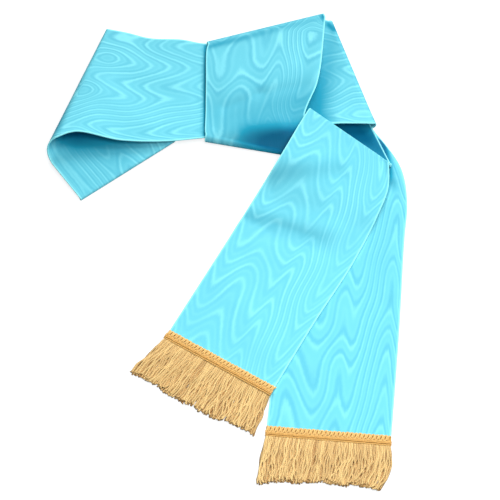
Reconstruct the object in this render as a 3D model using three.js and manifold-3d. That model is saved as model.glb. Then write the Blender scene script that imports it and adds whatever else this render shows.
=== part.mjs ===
import * as THREE from "three";
import { mergeVertices } from "three/addons/utils/BufferGeometryUtils.js";
import Module from "manifold-3d";

// A lodge sash: one strip of watered ribbon, folded and passed round itself in a flat knot,
// with a gold fringe under a ribbed braid heading at each end. It lies on a flat surface, z = 0.

// Driving sizes in millimetres
const RIBBON_WALL = 1.2;
const SECTION_STEP = 15;
const SECTIONS_IN_A_FOLD = 6;
const CELLS_ACROSS = 6;
const LAYOUT_CENTRE = new THREE.Vector3(-20.7, 13.1, 0);

const HEADING_DEPTH = 9;
const HEADING_WALL = 1.0;
const HEADING_OVERHANG = 2.4;
const HEADING_PAST_SELVEDGE = 1;
const RIB_COUNT = 26;
const RIB_WIDTH = 3.2;
const RIB_RISE = 0.9;
const RIB_SLANT = 2.4;
const RIB_INSET = 0.4;
const SEAM_GAP = 0.3;

const BACKING_DEPTH = 3.2;
const BACKING_WALL = 1.2;
const LOCK_COUNT = 20;
const LOCK_SECTIONS = 6;
const LOCK_ROOT_PLACE = 0.85 * BACKING_DEPTH;
const LOCK_ROOT_HALF = 2.9;
const LOCK_TIP_HALF = 2.2;
const LOCK_CROWN_SHARE = 0.6;
const LOCK_ROOT_WALL = 2.2;
const LOCK_TIP_WALL = 1.3;
const LOCK_SWELL = 0.3;
const LOCK_SWELL_TURN = 3;
const LOCK_SWAY = 0.9;
const LOCK_SWAY_TURN = 4.5;
const LOCK_SWAY_STEP = 1.9;
const LOCK_SHORTENING = 0.04;
const LOCK_SHORTENING_STEP = 2.7;

const RIBBON_COLOUR = 0x7fdff2;
const GOLD_COLOUR = 0xd9b271;

// How the ribbon lies, from the left fringe to the right one. Each row is one line across the ribbon:
// its left and right selvedge points. A row with a turn is a fold edge, seen from above at its
// outermost line: rise is the half height of the fold at each selvedge, reach its depth behind that
// line, and slip how far the selvedge slides along the edge while it goes round.
const UP = 1;
const DOWN = -1;
const LAY = [
  { at: "left tail end", left: [-69.2, -82.1, 0.6], right: [16.9, -134.1, 2.6] },
  { at: "left tail, low", left: [-29.5, -10.5, 0.8], right: [54, -69.5, 4] },
  { at: "left tail, middle", left: [5, 51, 3.2], right: [88, -13, 4.4] },
  { at: "left tail, over the wrap", left: [30, 90, 17.8], right: [108.5, 29, 6.5] },
  { at: "left tail, top", left: [44, 117, 18.6], right: [119.5, 60, 8.8] },
  {
    at: "top fold of the left tail",
    left: [53, 132.6, 18.6],
    right: [121, 81, 10.4],
    turn: DOWN,
    rise: [2.7, 1.4],
  },
  {
    at: "hidden fold of the pleat",
    left: [8, 108.5, 11.2],
    right: [122.6, 80, 7.2],
    turn: DOWN,
    rise: [3.2, 1.5],
  },
  { at: "inside the pocket", left: [0, 140, 4.7], right: [109.5, 115, 4.8] },
  {
    at: "turn inside the knot",
    left: [-22, 212.3, 4.6],
    right: [102.5, 134, 5.4],
    turn: UP,
    rise: [1.3, 1.3],
  },
  { at: "back of the loop, at the wrap", left: [-40, 208.5, 4.6], right: [-38, 112.5, 5] },
  { at: "back of the loop", left: [-75, 205.5, 0.8], right: [-78, 108, 0.8] },
  {
    at: "far end of the back",
    left: [-127, 199, 0.7],
    right: [-170, 98.7, 0.7],
    turn: UP,
    rise: [1.3, 1.3],
  },
  {
    at: "lower edge of the corner",
    left: [-66, 106.8, 3.4],
    right: [-145.7, 48.5, 0.7],
    turn: UP,
    rise: [1.2, 1.2],
  },
  {
    at: "far end roll",
    left: [-130.5, 224.8, 5.4],
    right: [-179.3, 85, 5.2],
    turn: UP,
    rise: [2, 8],
    slip: [0, -20],
  },
  { at: "front of the loop, mouth", left: [-113.6, 220.6, 9.4], right: [-153, 106.3, 20.6] },
  { at: "front of the loop, left", left: [-90.6, 214.2, 9], right: [-114, 102, 14] },
  { at: "front of the loop, right", left: [-62, 213, 8.6], right: [-74, 102.8, 10.6] },
  { at: "front of the loop, at the wrap", left: [-40.7, 208.9, 8.2], right: [-39.4, 107.8, 8.6] },
  { at: "inside the wrap", left: [20, 221, 10.4], right: [30, 116, 9.7] },
  { at: "out of the wrap", left: [60, 234.6, 10.2], right: [80, 121.5, 9.8] },
  {
    at: "right end of the knot",
    left: [75, 234.1, 10.4],
    right: [110.6, 122, 9.8],
    turn: DOWN,
    rise: [3.7, 3.4],
  },
  {
    at: "lower edge of the wrap",
    left: [-39.4, 105.6, 3],
    right: [52, 88.6, 3],
    turn: UP,
    rise: [4.1, 1.3],
    reach: [4.1, 1.6],
  },
  { at: "wrap, top of its slope", left: [-39.2, 113, 11.2], right: [51, 101.5, 13.8] },
  { at: "wrap, low", left: [-39, 130, 11.2], right: [47.4, 121, 15.4] },
  { at: "wrap, middle", left: [-39, 165, 11.2], right: [60, 163, 15.4] },
  { at: "wrap, high", left: [-39, 200, 11.2], right: [66, 207, 15.2] },
  {
    at: "top edge of the wrap",
    left: [-39, 211.2, 11.2],
    right: [66.5, 241, 15],
    turn: DOWN,
    rise: [5.3, 7.2],
  },
  { at: "right tail, under the knot", left: [15, 124, 0.6], right: [105, 128, 0.6] },
  { at: "right tail, out of the knot", left: [40, 85, 0.6], right: [131.5, 81, 0.6] },
  { at: "right tail, shoulder", left: [37, 45, 0.6], right: [135.2, 45, 0.6] },
  { at: "right tail, high", left: [33, 12, 0.6], right: [131.4, 12.1, 0.6] },
  { at: "right tail, low", left: [23, -76, 0.6], right: [123, -76, 0.6] },
  { at: "right tail end", left: [12.9, -168.2, 0.6], right: [111.8, -176.8, 0.6] },
];

// How each fringe lies: the tips of its first and last lock, in the same plan as the ribbon, how far
// its lower edge bellies out between them, and the height that the cloth underneath lifts its locks
// by, first and last, at the root and at the tip.
const FRINGE_LAY = {
  left: {
    firstTip: [-95.4, -111.5],
    lastTip: [6.4, -165.9],
    belly: 6,
    lift: [0, 1.9],
    tipLift: [0, 0.2],
  },
  right: { firstTip: [5.5, -206.6], lastTip: [102, -215.3], belly: 1.3, lift: [0, 0], tipLift: [0, 0] },
};

const LOWEST_MIDDLE = new THREE.Vector3(-Infinity, -Infinity, RIBBON_WALL / 2);

const wasm = await Module();
wasm.setup();

// A line across the ribbon is a pair of points, one on each selvedge.
const mixLines = (a, b, t) => [0, 1].map((side) => a[side].clone().lerp(b[side], t));
const lineMiddle = (line) => line[0].clone().add(line[1]).multiplyScalar(0.5);
const lineGap = (a, b) => (a[0].distanceTo(b[0]) + a[1].distanceTo(b[1])) / 2;

// The lines of one fold: each selvedge goes half way round an ellipse that stands on the lower
// layer, has its outermost point on the row's own line, and slides along that line by its slip.
function foldLines(row, before) {
  const edge = [new THREE.Vector3(...row.left), new THREE.Vector3(...row.right)];
  const along = edge[1].clone().sub(edge[0]).setZ(0).normalize();
  const outward = new THREE.Vector3(-along.y, along.x, 0);
  if (lineMiddle(edge).sub(lineMiddle(before)).dot(outward) < 0) outward.negate();
  const reach = row.reach ?? row.rise;
  const slip = row.slip ?? [0, 0];
  const lines = [];
  for (let k = 0; k <= SECTIONS_IN_A_FOLD; k++) {
    const angle = (Math.PI * k) / SECTIONS_IN_A_FOLD;
    lines.push(
      edge.map((point, side) =>
        point
          .clone()
          .addScaledVector(outward, reach[side] * (Math.sin(angle) - 1))
          .addScaledVector(along, (slip[side] * angle) / Math.PI)
          .setZ(point.z + row.turn * row.rise[side] * (1 - Math.cos(angle))),
      ),
    );
  }
  return lines;
}

// A smooth run of lines through the given ones: a cubic curve on each selvedge whose slope at an
// inner line is the mean of the slopes beside it. The surface underneath stops it from dipping lower.
function panelLines(through) {
  const last = through.length - 1;
  const gaps = through.slice(1).map((line, k) => lineGap(through[k], line));
  const slopes = gaps.map((gap, k) =>
    [0, 1].map((side) => through[k + 1][side].clone().sub(through[k][side]).divideScalar(gap)),
  );
  const tangents = through.map((_, k) => {
    if (k === 0 || k === last) return null;
    const share = gaps[k - 1] / (gaps[k - 1] + gaps[k]);
    return mixLines(slopes[k - 1], slopes[k], share);
  });
  tangents[0] = endTangent(slopes[0], tangents[1]);
  tangents[last] = endTangent(slopes[last - 1], tangents[last - 1]);
  const lines = [through[0]];
  gaps.forEach((gap, k) => {
    const longest = Math.max(
      through[k][0].distanceTo(through[k + 1][0]),
      through[k][1].distanceTo(through[k + 1][1]),
    );
    const steps = Math.max(1, Math.ceil(longest / SECTION_STEP));
    for (let step = 1; step <= steps; step++) {
      const t = step / steps;
      lines.push(
        [0, 1].map((side) =>
          through[k][side]
            .clone()
            .multiplyScalar(2 * t ** 3 - 3 * t ** 2 + 1)
            .addScaledVector(tangents[k][side], gap * (t ** 3 - 2 * t ** 2 + t))
            .addScaledVector(through[k + 1][side], 3 * t ** 2 - 2 * t ** 3)
            .addScaledVector(tangents[k + 1][side], gap * (t ** 3 - t ** 2))
            .max(LOWEST_MIDDLE),
        ),
      );
    }
  });
  return lines;
}

// The slope at the first or last line of a panel, straight where the panel has no inner line.
function endTangent(slope, inner) {
  if (!inner) return slope.map((side) => side.clone());
  return slope.map((side, k) => side.clone().multiplyScalar(1.5).addScaledVector(inner[k], -0.5));
}

// All the lines across the ribbon, fold after fold.
function ribbonLines() {
  const lines = [];
  let panel = [];
  let before = null;
  const closePanel = () => lines.push(...panelLines(panel).slice(lines.length ? 1 : 0));
  for (const row of LAY) {
    const line = [new THREE.Vector3(...row.left), new THREE.Vector3(...row.right)];
    if (row.turn) {
      const fold = foldLines(row, before);
      panel.push(fold[0]);
      closePanel();
      lines.push(...fold.slice(1));
      panel = [fold[fold.length - 1]];
    } else {
      panel.push(line);
    }
    before = line;
  }
  closePanel();
  return lines;
}

// A closed wall of the given thickness around a grid of points, grid[section][across].
function wallGeometry(grid, wall) {
  const rows = grid.length;
  const columns = grid[0].length;
  const positions = [];
  for (const side of [0.5, -0.5])
    for (let i = 0; i < rows; i++)
      for (let j = 0; j < columns; j++) {
        const along = grid[Math.min(i + 1, rows - 1)][j].clone().sub(grid[Math.max(i - 1, 0)][j]);
        const across = grid[i][Math.min(j + 1, columns - 1)]
          .clone()
          .sub(grid[i][Math.max(j - 1, 0)]);
        const normal = across.cross(along).normalize();
        positions.push(...grid[i][j].clone().addScaledVector(normal, side * wall).toArray());
      }
  const upper = (i, j) => i * columns + j;
  const lower = (i, j) => rows * columns + upper(i, j);
  const faces = [];
  const quad = (a, b, c, d) => faces.push(a, b, c, a, c, d);
  for (let i = 0; i < rows - 1; i++)
    for (let j = 0; j < columns - 1; j++) {
      quad(upper(i, j), upper(i, j + 1), upper(i + 1, j + 1), upper(i + 1, j));
      quad(lower(i, j), lower(i + 1, j), lower(i + 1, j + 1), lower(i, j + 1));
    }
  for (let i = 0; i < rows - 1; i++) {
    quad(upper(i, 0), upper(i + 1, 0), lower(i + 1, 0), lower(i, 0));
    const j = columns - 1;
    quad(upper(i, j), lower(i, j), lower(i + 1, j), upper(i + 1, j));
  }
  for (let j = 0; j < columns - 1; j++) {
    quad(upper(0, j), lower(0, j), lower(0, j + 1), upper(0, j + 1));
    const i = rows - 1;
    quad(upper(i, j), upper(i, j + 1), lower(i, j + 1), lower(i, j));
  }
  return new THREE.BufferGeometry()
    .setAttribute("position", new THREE.Float32BufferAttribute(positions, 3))
    .setIndex(faces);
}

// The ribbon itself: a straight line of points across at every section.
function ribbonGeometry(lines) {
  const grid = lines.map((line) =>
    Array.from({ length: CELLS_ACROSS + 1 }, (_, j) =>
      line[0].clone().lerp(line[1], j / CELLS_ACROSS),
    ),
  );
  return wallGeometry(grid, RIBBON_WALL);
}

// The frame of a ribbon end: along the end from left to right, outward in plan, and up.
function endFrame(endLine, inner) {
  const along = endLine[1].clone().sub(endLine[0]);
  const width = along.length();
  along.normalize();
  const up = new THREE.Vector3(0, 0, 1).addScaledVector(along, -along.z).normalize();
  const outward = along.clone().cross(up).normalize();
  if (outward.dot(endLine[0].clone().sub(inner[0])) < 0) outward.negate();
  return { origin: endLine[0].clone(), along, outward, up, width };
}

const inFrame = (frame, along, outward, up) =>
  frame.origin
    .clone()
    .addScaledVector(frame.along, along)
    .addScaledVector(frame.outward, outward)
    .addScaledVector(frame.up, up);

// A box with six faces from its eight corners: the first four round its lower face, seen from
// above anticlockwise, and the last four above them.
function hexahedron(corners) {
  const index = [0, 3, 2, 0, 2, 1, 4, 5, 6, 4, 6, 7];
  for (let k = 0; k < 4; k++) {
    const next = (k + 1) % 4;
    index.push(k, next, next + 4, k, next + 4, k + 4);
  }
  return new THREE.BufferGeometry()
    .setAttribute(
      "position",
      new THREE.Float32BufferAttribute(corners.flatMap((p) => p.toArray()), 3),
    )
    .setIndex(index);
}

// A closed solid for joining, turned the right way round if its corners ran the other way.
function solidOf(geometry) {
  const merged = mergeVertices(geometry, 1e-4);
  const build = (triVerts) =>
    new wasm.Manifold(
      new wasm.Mesh({ numProp: 3, vertProperties: merged.attributes.position.array, triVerts }),
    );
  const triVerts = new Uint32Array(merged.index.array);
  const solid = build(triVerts);
  if (solid.volume() > 0) return solid;
  for (let i = 0; i < triVerts.length; i += 3)
    [triVerts[i + 1], triVerts[i + 2]] = [triVerts[i + 2], triVerts[i + 1]];
  return build(triVerts);
}

function joined(geometries) {
  const whole = geometries.map(solidOf).reduce((sum, solid) => sum.add(solid));
  const mesh = whole.getMesh();
  return new THREE.BufferGeometry()
    .setAttribute("position", new THREE.BufferAttribute(mesh.vertProperties, 3))
    .setIndex(new THREE.BufferAttribute(mesh.triVerts, 1));
}

// The braid heading: a flat tape on the ribbon's end with slanting ribs fused along it.
function headingGeometry(frame) {
  const low = RIBBON_WALL / 2 + SEAM_GAP;
  const back = HEADING_OVERHANG - HEADING_DEPTH;
  const block = (start, end, slant, inset, from, to) =>
    hexahedron(
      [from, to].flatMap((height) => [
        inFrame(frame, start, back + inset, height),
        inFrame(frame, end, back + inset, height),
        inFrame(frame, end + slant, HEADING_OVERHANG - inset, height),
        inFrame(frame, start + slant, HEADING_OVERHANG - inset, height),
      ]),
    );
  const tape = block(
    -HEADING_PAST_SELVEDGE,
    frame.width + HEADING_PAST_SELVEDGE,
    0,
    0,
    low,
    low + HEADING_WALL,
  );
  const pitch = (frame.width - RIB_SLANT) / RIB_COUNT;
  const ribs = [];
  for (let k = 0; k < RIB_COUNT; k++) {
    const start = k * pitch + (pitch - RIB_WIDTH) / 2;
    const top = low + HEADING_WALL + RIB_RISE;
    ribs.push(block(start, start + RIB_WIDTH, RIB_SLANT, RIB_INSET, low + HEADING_WALL / 2, top));
  }
  return joined([tape, ...ribs]);
}

// One lock of cords: a flat bundle that hangs from the backing, waves once and thins to its tip.
function lockGeometry(root, tip, k, height) {
  const run = tip.clone().sub(root);
  const side = new THREE.Vector3(run.y, -run.x, 0).normalize();
  const sections = [];
  for (let s = 0; s <= LOCK_SECTIONS; s++) {
    const t = s / LOCK_SECTIONS;
    const wave = LOCK_SWAY * Math.sin(t * LOCK_SWAY_TURN + k * LOCK_SWAY_STEP) * t;
    const half = THREE.MathUtils.lerp(LOCK_ROOT_HALF, LOCK_TIP_HALF, t ** 2);
    const crown = half * LOCK_CROWN_SHARE;
    const bottom = THREE.MathUtils.lerp(height[0], height[1], t);
    const swell = LOCK_SWELL * Math.sin(LOCK_SWELL_TURN * t + k);
    const wall = THREE.MathUtils.lerp(LOCK_ROOT_WALL, LOCK_TIP_WALL, t ** 2) + swell;
    const middle = root.clone().addScaledVector(run, t).addScaledVector(side, wave);
    sections.push(
      [
        [-half, bottom],
        [half, bottom],
        [crown, bottom + wall],
        [-crown, bottom + wall],
      ].map(([out, z]) => middle.clone().addScaledVector(side, out).setZ(z)),
    );
  }
  const index = [];
  for (let s = 0; s < LOCK_SECTIONS; s++)
    for (let c = 0; c < 4; c++) {
      const [a, b] = [s * 4 + c, s * 4 + ((c + 1) % 4)];
      index.push(a, b, b + 4, a, b + 4, a + 4);
    }
  const end = LOCK_SECTIONS * 4;
  index.push(0, 2, 1, 0, 3, 2, end, end + 1, end + 2, end, end + 2, end + 3);
  return new THREE.BufferGeometry()
    .setAttribute(
      "position",
      new THREE.Float32BufferAttribute(sections.flat().flatMap((p) => p.toArray()), 3),
    )
    .setIndex(index);
}

// The fringe: a backing tape under the heading's front edge, with the locks fused to it.
function fringeGeometry(frame, lay) {
  const floor = -RIBBON_WALL / 2;
  const backing = hexahedron(
    [floor, floor + BACKING_WALL].flatMap((height) => [
      inFrame(frame, 0, SEAM_GAP, height),
      inFrame(frame, frame.width, SEAM_GAP, height),
      inFrame(frame, frame.width, SEAM_GAP + BACKING_DEPTH, height),
      inFrame(frame, 0, SEAM_GAP + BACKING_DEPTH, height),
    ]),
  );
  const firstTip = new THREE.Vector3(...lay.firstTip, 0);
  const lastTip = new THREE.Vector3(...lay.lastTip, 0);
  const locks = [];
  for (let k = 0; k < LOCK_COUNT; k++) {
    const share = (k + 0.5) / LOCK_COUNT;
    const root = inFrame(frame, share * frame.width, SEAM_GAP + LOCK_ROOT_PLACE, 0).setZ(0);
    const tip = firstTip.clone().lerp(lastTip, k / (LOCK_COUNT - 1));
    const run = tip.clone().sub(root);
    tip.addScaledVector(run.clone().normalize(), lay.belly * Math.sin(Math.PI * share));
    tip.addScaledVector(run, -LOCK_SHORTENING * (1 + Math.sin(k * LOCK_SHORTENING_STEP)));
    const lift = THREE.MathUtils.lerp(lay.lift[0], lay.lift[1], share ** 2);
    const tipLift = THREE.MathUtils.lerp(lay.tipLift[0], lay.tipLift[1], share);
    locks.push(lockGeometry(root, tip, k, [lift, tipLift]));
  }
  return joined([backing, ...locks]);
}

const ribbonMaterial = new THREE.MeshStandardMaterial({
  color: RIBBON_COLOUR,
  roughness: 0.45,
  metalness: 0,
});
const goldMaterial = new THREE.MeshStandardMaterial({
  color: GOLD_COLOUR,
  roughness: 0.6,
  metalness: 0,
});

const sash = new THREE.Group();
function addPiece(name, geometry, material) {
  const mesh = new THREE.Mesh(geometry, material);
  mesh.name = name;
  mesh.position.copy(LAYOUT_CENTRE).negate();
  sash.add(mesh);
}

const lines = ribbonLines();
addPiece("ribbon", ribbonGeometry(lines), ribbonMaterial);
const ends = {
  left: endFrame(lines[0], lines[1]),
  right: endFrame(lines[lines.length - 1], lines[lines.length - 2]),
};
for (const side of ["left", "right"]) {
  addPiece(`heading_${side}`, headingGeometry(ends[side]), goldMaterial);
  addPiece(`fringe_${side}`, fringeGeometry(ends[side], FRINGE_LAY[side]), goldMaterial);
}

export default sash;
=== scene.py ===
import math

import bpy
import numpy as np
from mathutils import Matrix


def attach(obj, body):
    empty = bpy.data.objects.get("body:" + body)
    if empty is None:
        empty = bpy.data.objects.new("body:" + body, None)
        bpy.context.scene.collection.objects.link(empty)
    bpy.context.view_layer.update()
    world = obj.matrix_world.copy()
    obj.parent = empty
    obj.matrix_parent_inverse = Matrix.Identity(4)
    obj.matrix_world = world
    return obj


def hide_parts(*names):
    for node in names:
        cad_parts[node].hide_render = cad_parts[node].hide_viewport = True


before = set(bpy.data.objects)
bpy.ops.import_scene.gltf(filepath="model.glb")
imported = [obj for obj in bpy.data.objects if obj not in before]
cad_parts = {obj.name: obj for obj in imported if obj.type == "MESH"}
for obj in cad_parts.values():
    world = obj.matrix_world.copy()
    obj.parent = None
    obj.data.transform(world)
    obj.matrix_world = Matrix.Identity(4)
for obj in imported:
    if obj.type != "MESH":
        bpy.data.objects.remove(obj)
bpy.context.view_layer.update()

# The ribbon
# One strip of light blue watered ribbon, two plies sewn together at the selvedges. It is folded,
# rolled at the far end of its loop and passed round itself in a flat knot, then laid down.

ribbon_wall = 0.0012
section_step = 0.003
sections_in_a_fold = 12
layout_centre = np.array([-0.0207, 0.0131, 0.0])

UP, DOWN, FLAT = 1, -1, 0
NONE = (0, 0)
# Each row is one line across the ribbon, from the left fringe to the right one, in metres:
# left selvedge, right selvedge, turn, rise, reach, slip. A row with a turn is a fold edge, given by
# its outermost line; rise is half the fold's height at each selvedge, reach its depth behind that
# line, and slip how far the selvedge slides along the edge as it goes round.
lay = [
    ((-0.0692, -0.0821, 0.0006), (0.0169, -0.1341, 0.0026), FLAT, NONE, NONE, NONE),
    ((-0.0295, -0.0105, 0.0008), (0.0540, -0.0695, 0.0040), FLAT, NONE, NONE, NONE),
    ((0.0050, 0.0510, 0.0032), (0.0880, -0.0130, 0.0044), FLAT, NONE, NONE, NONE),
    ((0.0300, 0.0900, 0.0178), (0.1085, 0.0290, 0.0065), FLAT, NONE, NONE, NONE),
    ((0.0440, 0.1170, 0.0186), (0.1195, 0.0600, 0.0088), FLAT, NONE, NONE, NONE),
    ((0.0530, 0.1326, 0.0186), (0.1210, 0.0810, 0.0104), DOWN, (0.0027, 0.0014), (0.0027, 0.0014), NONE),
    ((0.0080, 0.1085, 0.0112), (0.1226, 0.0800, 0.0072), DOWN, (0.0032, 0.0015), (0.0032, 0.0015), NONE),
    ((0.0000, 0.1400, 0.0047), (0.1095, 0.1150, 0.0048), FLAT, NONE, NONE, NONE),
    ((-0.0220, 0.2123, 0.0046), (0.1025, 0.1340, 0.0054), UP, (0.0013, 0.0013), (0.0013, 0.0013), NONE),
    ((-0.0400, 0.2085, 0.0046), (-0.0380, 0.1125, 0.0050), FLAT, NONE, NONE, NONE),
    ((-0.0750, 0.2055, 0.0008), (-0.0780, 0.1080, 0.0008), FLAT, NONE, NONE, NONE),
    ((-0.1270, 0.1990, 0.0007), (-0.1700, 0.0987, 0.0007), UP, (0.0013, 0.0013), (0.0013, 0.0013), NONE),
    ((-0.0660, 0.1068, 0.0034), (-0.1457, 0.0485, 0.0007), UP, (0.0012, 0.0012), (0.0012, 0.0012), NONE),
    ((-0.1305, 0.2248, 0.0054), (-0.1793, 0.085, 0.0052), UP, (0.002, 0.008), (0.002, 0.008), (0, -0.020)),
    ((-0.1136, 0.2206, 0.0094), (-0.1530, 0.1063, 0.0206), FLAT, NONE, NONE, NONE),
    ((-0.0906, 0.2142, 0.0090), (-0.1140, 0.1020, 0.0140), FLAT, NONE, NONE, NONE),
    ((-0.0620, 0.2130, 0.0086), (-0.0740, 0.1028, 0.0106), FLAT, NONE, NONE, NONE),
    ((-0.0407, 0.2089, 0.0082), (-0.0394, 0.1078, 0.0086), FLAT, NONE, NONE, NONE),
    ((0.0200, 0.2210, 0.0104), (0.0300, 0.1160, 0.0097), FLAT, NONE, NONE, NONE),
    ((0.0600, 0.2346, 0.0102), (0.0800, 0.1215, 0.0098), FLAT, NONE, NONE, NONE),
    ((0.0750, 0.2341, 0.0104), (0.1106, 0.1220, 0.0098), DOWN, (0.0037, 0.0034), (0.0037, 0.0034), NONE),
    ((-0.0394, 0.1056, 0.0030), (0.0520, 0.0886, 0.0030), UP, (0.0041, 0.0013), (0.0041, 0.0016), NONE),
    ((-0.0392, 0.1130, 0.0112), (0.0510, 0.1015, 0.0138), FLAT, NONE, NONE, NONE),
    ((-0.0390, 0.1300, 0.0112), (0.0474, 0.1210, 0.0154), FLAT, NONE, NONE, NONE),
    ((-0.0390, 0.1650, 0.0112), (0.0600, 0.1630, 0.0154), FLAT, NONE, NONE, NONE),
    ((-0.0390, 0.2000, 0.0112), (0.0660, 0.2070, 0.0152), FLAT, NONE, NONE, NONE),
    ((-0.0390, 0.2112, 0.0112), (0.0665, 0.2410, 0.0150), DOWN, (0.0053, 0.0072), (0.0053, 0.0072), NONE),
    ((0.0150, 0.1240, 0.0006), (0.1050, 0.1280, 0.0006), FLAT, NONE, NONE, NONE),
    ((0.0400, 0.0850, 0.0006), (0.1315, 0.0810, 0.0006), FLAT, NONE, NONE, NONE),
    ((0.0370, 0.0450, 0.0006), (0.1352, 0.0450, 0.0006), FLAT, NONE, NONE, NONE),
    ((0.0330, 0.0120, 0.0006), (0.1314, 0.0121, 0.0006), FLAT, NONE, NONE, NONE),
    ((0.0230, -0.0760, 0.0006), (0.1230, -0.0760, 0.0006), FLAT, NONE, NONE, NONE),
    ((0.0129, -0.1682, 0.0006), (0.1118, -0.1768, 0.0006), FLAT, NONE, NONE, NONE),
]


def fold_lines(row, before):
    """The lines of one fold, (n, 2, 3). Each selvedge goes half way round an ellipse that stands on
    the lower layer: out = reach (sin a - 1), up = turn rise (1 - cos a), along = slip a / pi."""
    edge = np.array(row[:2])
    turn = row[2]
    rise, reach, slip = (np.array(values, float) for values in row[3:])
    along = (edge[1] - edge[0]) * (1, 1, 0)
    along /= np.linalg.norm(along)
    outward = np.array([-along[1], along[0], 0])
    if np.dot(edge.mean(0) - before.mean(0), outward) < 0:
        outward = -outward
    a = np.linspace(0, math.pi, sections_in_a_fold + 1)[:, None, None]
    out = reach[None, :, None] * (np.sin(a) - 1) * outward
    slide = slip[None, :, None] * a / math.pi * along
    up = turn * rise[None, :, None] * (1 - np.cos(a)) * np.array([0, 0, 1])
    return edge[None] + out + slide + up


def panel_lines(through):
    """A smooth run of lines through the given ones, (n, 2, 3): on each selvedge a cubic Hermite curve
    whose slope at an inner line is the mean of its neighbours', weighted by the nearer span. The
    surface underneath keeps every point at half a wall or higher."""
    through = np.array(through)
    gaps = np.linalg.norm(np.diff(through, axis=0), axis=2).mean(1)
    slopes = np.diff(through, axis=0) / gaps[:, None, None]
    tangents = np.empty_like(through)
    share = (gaps[:-1] / (gaps[:-1] + gaps[1:]))[:, None, None]
    tangents[1:-1] = slopes[:-1] * (1 - share) + slopes[1:] * share
    straight = len(through) == 2
    tangents[0] = slopes[0] if straight else 1.5 * slopes[0] - 0.5 * tangents[1]
    tangents[-1] = slopes[-1] if straight else 1.5 * slopes[-1] - 0.5 * tangents[-2]
    spans = np.linalg.norm(np.diff(through, axis=0), axis=2).max(1)
    runs = [through[:1]]
    for k, gap in enumerate(gaps):
        steps = max(2, math.ceil(spans[k] / section_step))
        t = (np.arange(1, steps + 1) / steps)[:, None, None]
        runs.append(
            through[k] * (2 * t**3 - 3 * t**2 + 1)
            + tangents[k] * gap * (t**3 - 2 * t**2 + t)
            + through[k + 1] * (3 * t**2 - 2 * t**3)
            + tangents[k + 1] * gap * (t**3 - t**2)
        )
    lines = np.concatenate(runs)
    lines[..., 2] = np.maximum(lines[..., 2], ribbon_wall / 2)
    return lines


def ribbon_lines():
    """All lines across the ribbon, (n, 2, 3), and the number of the panel that each belongs to: 0 is
    the left tail, 1 the pleat behind it and so on. On the fold between two panels the number goes
    evenly from the one's to the next's."""
    lines, panels, through, before = [], [], [], None
    number = 0
    for row in lay:
        edge = np.array(row[:2])
        if row[2] == FLAT:
            through.append(edge)
        else:
            fold = fold_lines(row, before)
            through.append(fold[0])
            panel = panel_lines(through)[1 if lines else 0:]
            lines += [panel, fold[1:-1]]
            panels.append(np.full(len(panel), float(number)))
            panels.append(number + np.arange(1, len(fold) - 1) / (len(fold) - 1))
            lines.append(fold[-1:])
            number += 1
            panels.append(np.array([float(number)]))
            through = [fold[-1]]
        before = edge
    panel = panel_lines(through)[1:]
    return np.concatenate(lines + [panel]), np.concatenate(panels + [np.full(len(panel), float(number))])


def cloth_coordinates(lines, panels, across):
    """Where each point lies on the ribbon when it is unrolled, (n, m, 2): across the width, and along
    the length = mean length of both selvedges so far + the point's lead on the middle of its line,
    which is its offset from it times the direction that the ribbon runs in. On a fold the lead goes
    evenly from one panel's to the next."""
    steps = np.linalg.norm(np.diff(lines, axis=0), axis=2).mean(1)
    length = np.concatenate([[0], np.cumsum(steps)])
    middle = lines.mean(1)
    heading = np.gradient(middle, axis=0)
    heading /= np.linalg.norm(heading, axis=1)[:, None]
    lead = ((lines[:, 1] - lines[:, 0]) * heading).sum(1)
    for number in range(int(panels.max()) + 1):
        on_panel = np.flatnonzero(panels == number)
        if len(on_panel) > 4:
            lead[on_panel[0]] = lead[on_panel[2]]
            lead[on_panel[1]] = lead[on_panel[2]]
            lead[on_panel[-1]] = lead[on_panel[-3]]
            lead[on_panel[-2]] = lead[on_panel[-3]]
    whole = panels == np.floor(panels)
    index = np.arange(len(panels))
    lead = np.interp(index, index[whole], lead[whole])
    along = length[:, None] + lead[:, None] * (across[None] - 0.5)
    return np.stack([np.broadcast_to(across, along.shape) * ribbon_width, along], axis=2)


ribbon_width = 0.100
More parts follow.
